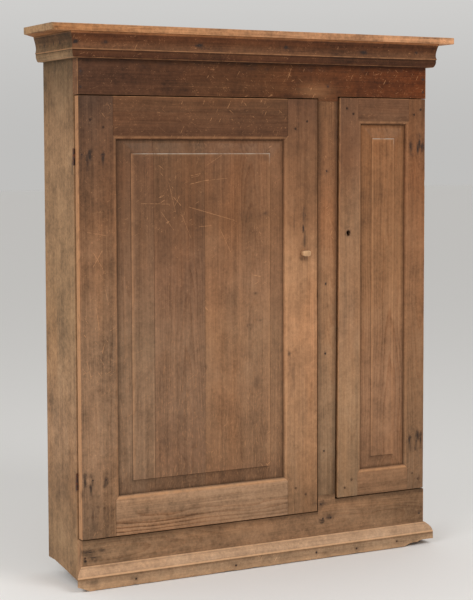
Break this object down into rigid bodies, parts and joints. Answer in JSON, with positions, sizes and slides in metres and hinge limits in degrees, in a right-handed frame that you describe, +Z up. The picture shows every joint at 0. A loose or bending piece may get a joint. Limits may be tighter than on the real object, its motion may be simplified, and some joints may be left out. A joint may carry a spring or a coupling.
{
  "type": "cupboard",
  "caption": "Tall shallow country cupboard in old pine with a wide and a narrow panelled door, moulded cornice, overhanging top board and base moulding",
  "frame": {"origin": "on the floor, under the middle of the top board", "axes": "+Z up, the doors face -Y, +X to the right when looking at the doors"},
  "size_m": [1.556, 0.344, 1.85],
  "materials": {
    "front_pine": "old pine, dry and worn, dark at the top and paler towards the floor",
    "side_pine": "old pine, greyed and dry",
    "inner_pine": "unfinished pine, dusty",
    "newer_pine": "lighter pine, oiled",
    "peg_wood": "end grain, dark",
    "pale_wood": "pale hardwood, handled smooth",
    "old_iron": "forged iron, rusted brown"
  },
  "bodies": {
    "carcass": {"back_board_1": "inner_pine", "back_board_2": "inner_pine", "back_board_3": "inner_pine", "back_board_4": "inner_pine", "back_board_5": "inner_pine", "base_moulding_front": "front_pine", "base_moulding_right_return": "front_pine", "bottom_board": "inner_pine", "bottom_rail": "front_pine", "centre_stile": "front_pine", "cornice_front": "front_pine", "cornice_left_return": "front_pine", "cornice_nails": "old_iron", "cornice_right_return": "front_pine", "frame_nails": "old_iron", "frieze": "front_pine", "left_door_lower_hinge_pin": "old_iron", "left_door_lower_side_leaf": "old_iron", "left_door_upper_hinge_pin": "old_iron", "left_door_upper_side_leaf": "old_iron", "left_side": "side_pine", "lock_plate": "old_iron", "rear_foot_left": "inner_pine", "rear_foot_right": "inner_pine", "rear_rail": "inner_pine", "right_door_lower_hinge_pin": "old_iron", "right_door_lower_side_leaf": "old_iron", "right_door_upper_hinge_pin": "old_iron", "right_door_upper_side_leaf": "old_iron", "right_side": "side_pine", "shelf_1": "inner_pine", "shelf_2": "inner_pine", "shelf_3": "inner_pine", "shelf_cleats": "inner_pine", "top_board": "newer_pine"},
    "turn_latch": {"latch_arm": "pale_wood", "latch_knob": "pale_wood", "latch_peg": "pale_wood"},
    "left_door": {"left_door_bottom_rail": "front_pine", "left_door_hinge_stile": "front_pine", "left_door_lock_stile": "front_pine", "left_door_lower_strap_leaf": "old_iron", "left_door_panel_board_1": "front_pine", "left_door_panel_board_2": "front_pine", "left_door_panel_board_3": "front_pine", "left_door_pegs": "peg_wood", "left_door_strap_nails": "old_iron", "left_door_top_rail": "front_pine", "left_door_upper_strap_leaf": "old_iron"},
    "lock_bolt": {"lock_bolt": "old_iron"},
    "right_door": {"lock_case": "old_iron", "right_door_bottom_rail": "front_pine", "right_door_hinge_stile": "front_pine", "right_door_lock_stile": "front_pine", "right_door_lower_strap_leaf": "old_iron", "right_door_panel_board_1": "front_pine", "right_door_pegs": "peg_wood", "right_door_strap_nails": "old_iron", "right_door_top_rail": "front_pine", "right_door_upper_strap_leaf": "old_iron"}
  },
  "joints": [
    {"name": "left_door_hinge", "type": "hinge", "parent": "carcass", "child": "left_door", "pos_m": [-0.676, -0.0965, 0.891], "axis": [0, 0, -1], "range_deg": [0, 175]},
    {"name": "right_door_hinge", "type": "hinge", "parent": "carcass", "child": "right_door", "pos_m": [0.686, -0.0965, 0.9345], "axis": [0, 0, 1], "range_deg": [0, 175]},
    {"name": "latch_turn", "type": "hinge", "parent": "left_door", "child": "turn_latch", "pos_m": [0.174, -0.108, 1.087], "axis": [0, -1, 0], "range_deg": [-90, 90]},
    {"name": "lock_bolt_slide", "type": "slide", "parent": "right_door", "child": "lock_bolt", "axis": [-1, 0, 0], "range_m": [0, 0.022]}
  ]
}
